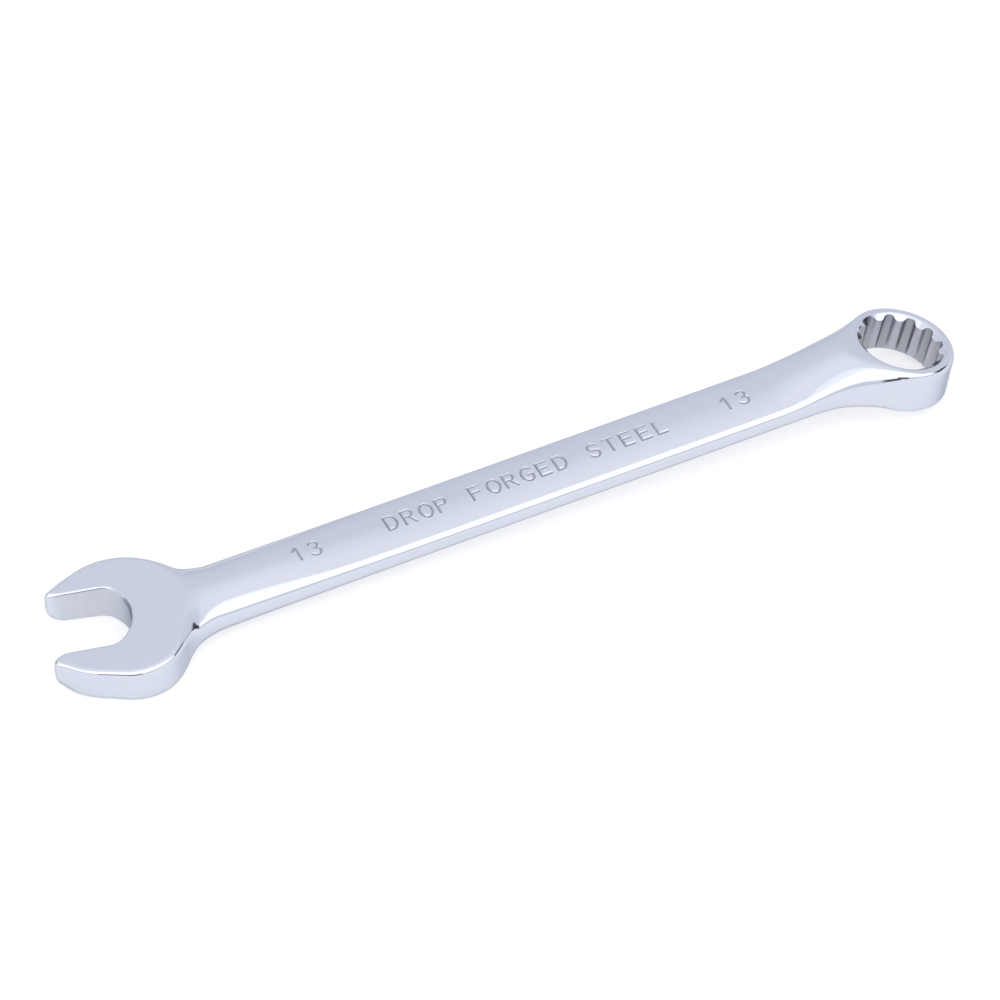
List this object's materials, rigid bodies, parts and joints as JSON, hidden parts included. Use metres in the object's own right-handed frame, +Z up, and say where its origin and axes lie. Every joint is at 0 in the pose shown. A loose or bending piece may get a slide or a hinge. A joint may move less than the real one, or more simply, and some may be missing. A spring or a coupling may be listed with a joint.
{
  "type": "combination wrench",
  "caption": "Open jaws at fifteen degrees on one end, a crowned shank, and a bent twelve-point ring on the other, for one size of hexagon nut.",
  "frame": {"origin": "centre of the bounding box in X and Y, on the table that the wrench rests on", "axes": "+X runs from the open end to the ring, +Y is across the shank, +Z is up with the ring's raised near rim on top"},
  "size_m": [0.1692, 0.0274, 0.0121],
  "materials": {
    "chrome_plate": "mirror-polished chrome plate on drop-forged steel"
  },
  "bodies": {
    "root": {"open_end": "chrome_plate", "shank": "chrome_plate", "ring_end": "chrome_plate"}
  },
  "joints": []
}
